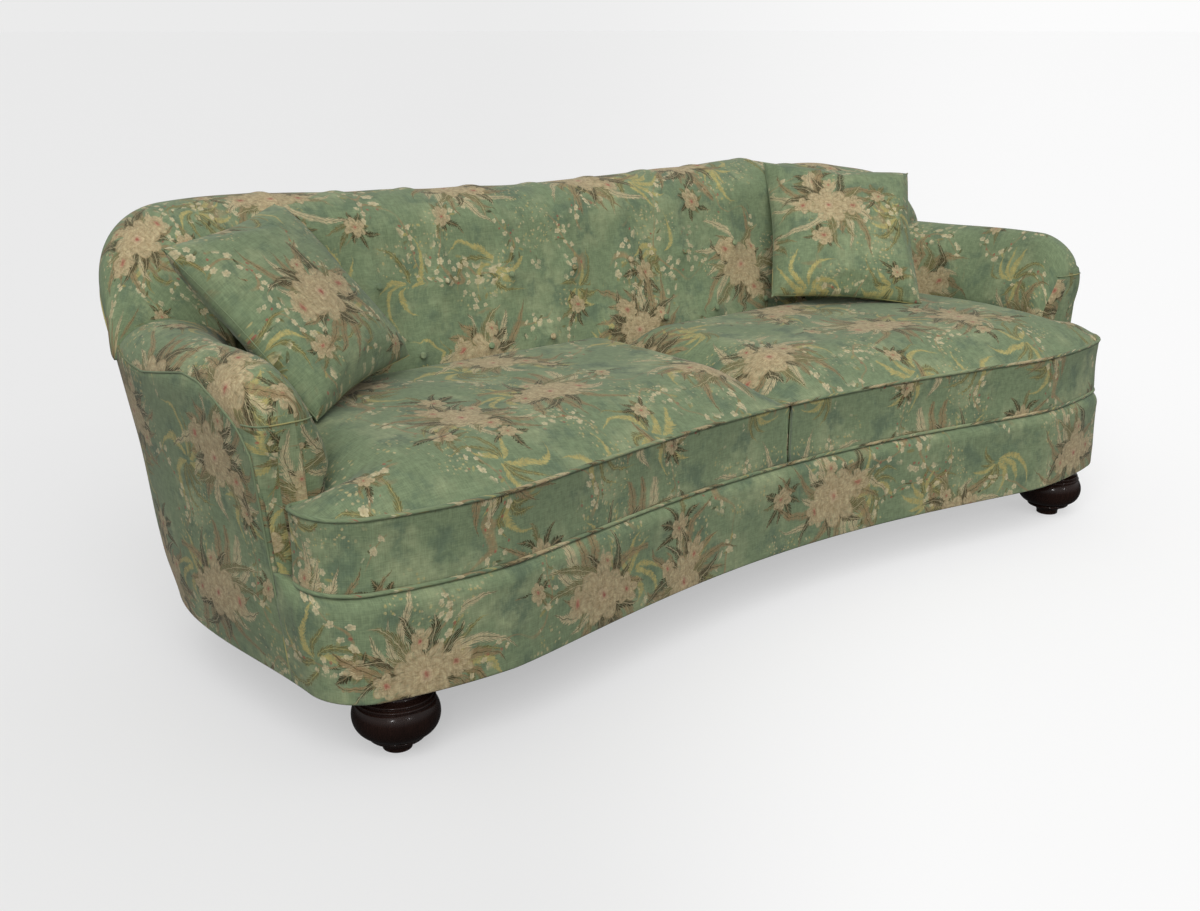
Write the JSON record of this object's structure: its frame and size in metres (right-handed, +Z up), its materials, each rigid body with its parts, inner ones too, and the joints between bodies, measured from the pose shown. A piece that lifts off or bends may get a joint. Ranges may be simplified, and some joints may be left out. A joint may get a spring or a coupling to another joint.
{
  "type": "sofa",
  "caption": "Upholstered sofa with a tufted back that curves round into lower rolled arms, a serpentine front, loose seat and scatter cushions and turned bun feet.",
  "frame": {"origin": "on the floor under the middle of the sofa's bounding box", "axes": "+X to the sofa's right-hand end seen from the front, -Y out of its front, +Z up"},
  "size_m": [2.434, 1.0071, 0.895],
  "materials": {
    "printed_linen": "woven linen, floral print, matt",
    "turned_wood": "dark stain, polished",
    "frame_timber": "sawn and planed",
    "spring_steel": "drawn wire",
    "bolt_steel": "zinc plated",
    "jute_webbing": "woven jute",
    "black_lining": "thin black cloth"
  },
  "bodies": {
    "frame": {"foot_front_left": "turned_wood", "foot_front_right": "turned_wood", "foot_rear_left": "turned_wood", "foot_rear_right": "turned_wood", "foot_bolts": "bolt_steel", "front_rail": "frame_timber", "back_rail": "frame_timber", "side_rail_left": "frame_timber", "side_rail_right": "frame_timber", "corner_rail_left": "frame_timber", "corner_rail_right": "frame_timber", "centre_rail": "frame_timber", "corner_blocks": "frame_timber", "arm_post_front_left": "frame_timber", "arm_post_front_right": "frame_timber", "arm_post_rear_left": "frame_timber", "arm_post_rear_right": "frame_timber", "arm_rail_left": "frame_timber", "arm_rail_right": "frame_timber", "wing_post_left": "frame_timber", "wing_post_right": "frame_timber", "back_post_outer_left": "frame_timber", "back_post_outer_right": "frame_timber", "back_post_inner_left": "frame_timber", "back_post_inner_right": "frame_timber", "back_top_rail": "frame_timber", "back_straps": "jute_webbing", "seat_springs": "spring_steel", "spring_clips": "spring_steel", "deck_pad": "black_lining", "dust_cover": "black_lining", "front_border": "printed_linen", "outside_arm_left": "printed_linen", "outside_arm_right": "printed_linen", "outside_back": "printed_linen", "arm_front_left": "printed_linen", "arm_front_right": "printed_linen", "arm_inside_left": "printed_linen", "arm_inside_right": "printed_linen", "arm_roll_left": "printed_linen", "arm_roll_right": "printed_linen", "wing_pad_left": "printed_linen", "wing_pad_right": "printed_linen", "back_pad": "printed_linen", "back_buttons": "printed_linen"},
    "seat_cushion_left": {"seat_cushion_left": "printed_linen"},
    "seat_cushion_right": {"seat_cushion_right": "printed_linen"},
    "scatter_cushion_left": {"scatter_cushion_left": "printed_linen"},
    "scatter_cushion_right": {"scatter_cushion_right": "printed_linen"}
  },
  "joints": [
    {"name": "seat_cushion_left_slide", "type": "slide", "parent": "frame", "child": "seat_cushion_left", "axis": [0, -1, 0], "range_m": [0, 0.3]},
    {"name": "seat_cushion_right_slide", "type": "slide", "parent": "frame", "child": "seat_cushion_right", "axis": [0, -1, 0], "range_m": [0, 0.3]},
    {"name": "scatter_cushion_left_lift", "type": "slide", "parent": "seat_cushion_left", "child": "scatter_cushion_left", "axis": [0, 0, 1], "range_m": [0, 0.3]},
    {"name": "scatter_cushion_right_lift", "type": "slide", "parent": "seat_cushion_right", "child": "scatter_cushion_right", "axis": [0, 0, 1], "range_m": [0, 0.3]}
  ]
}
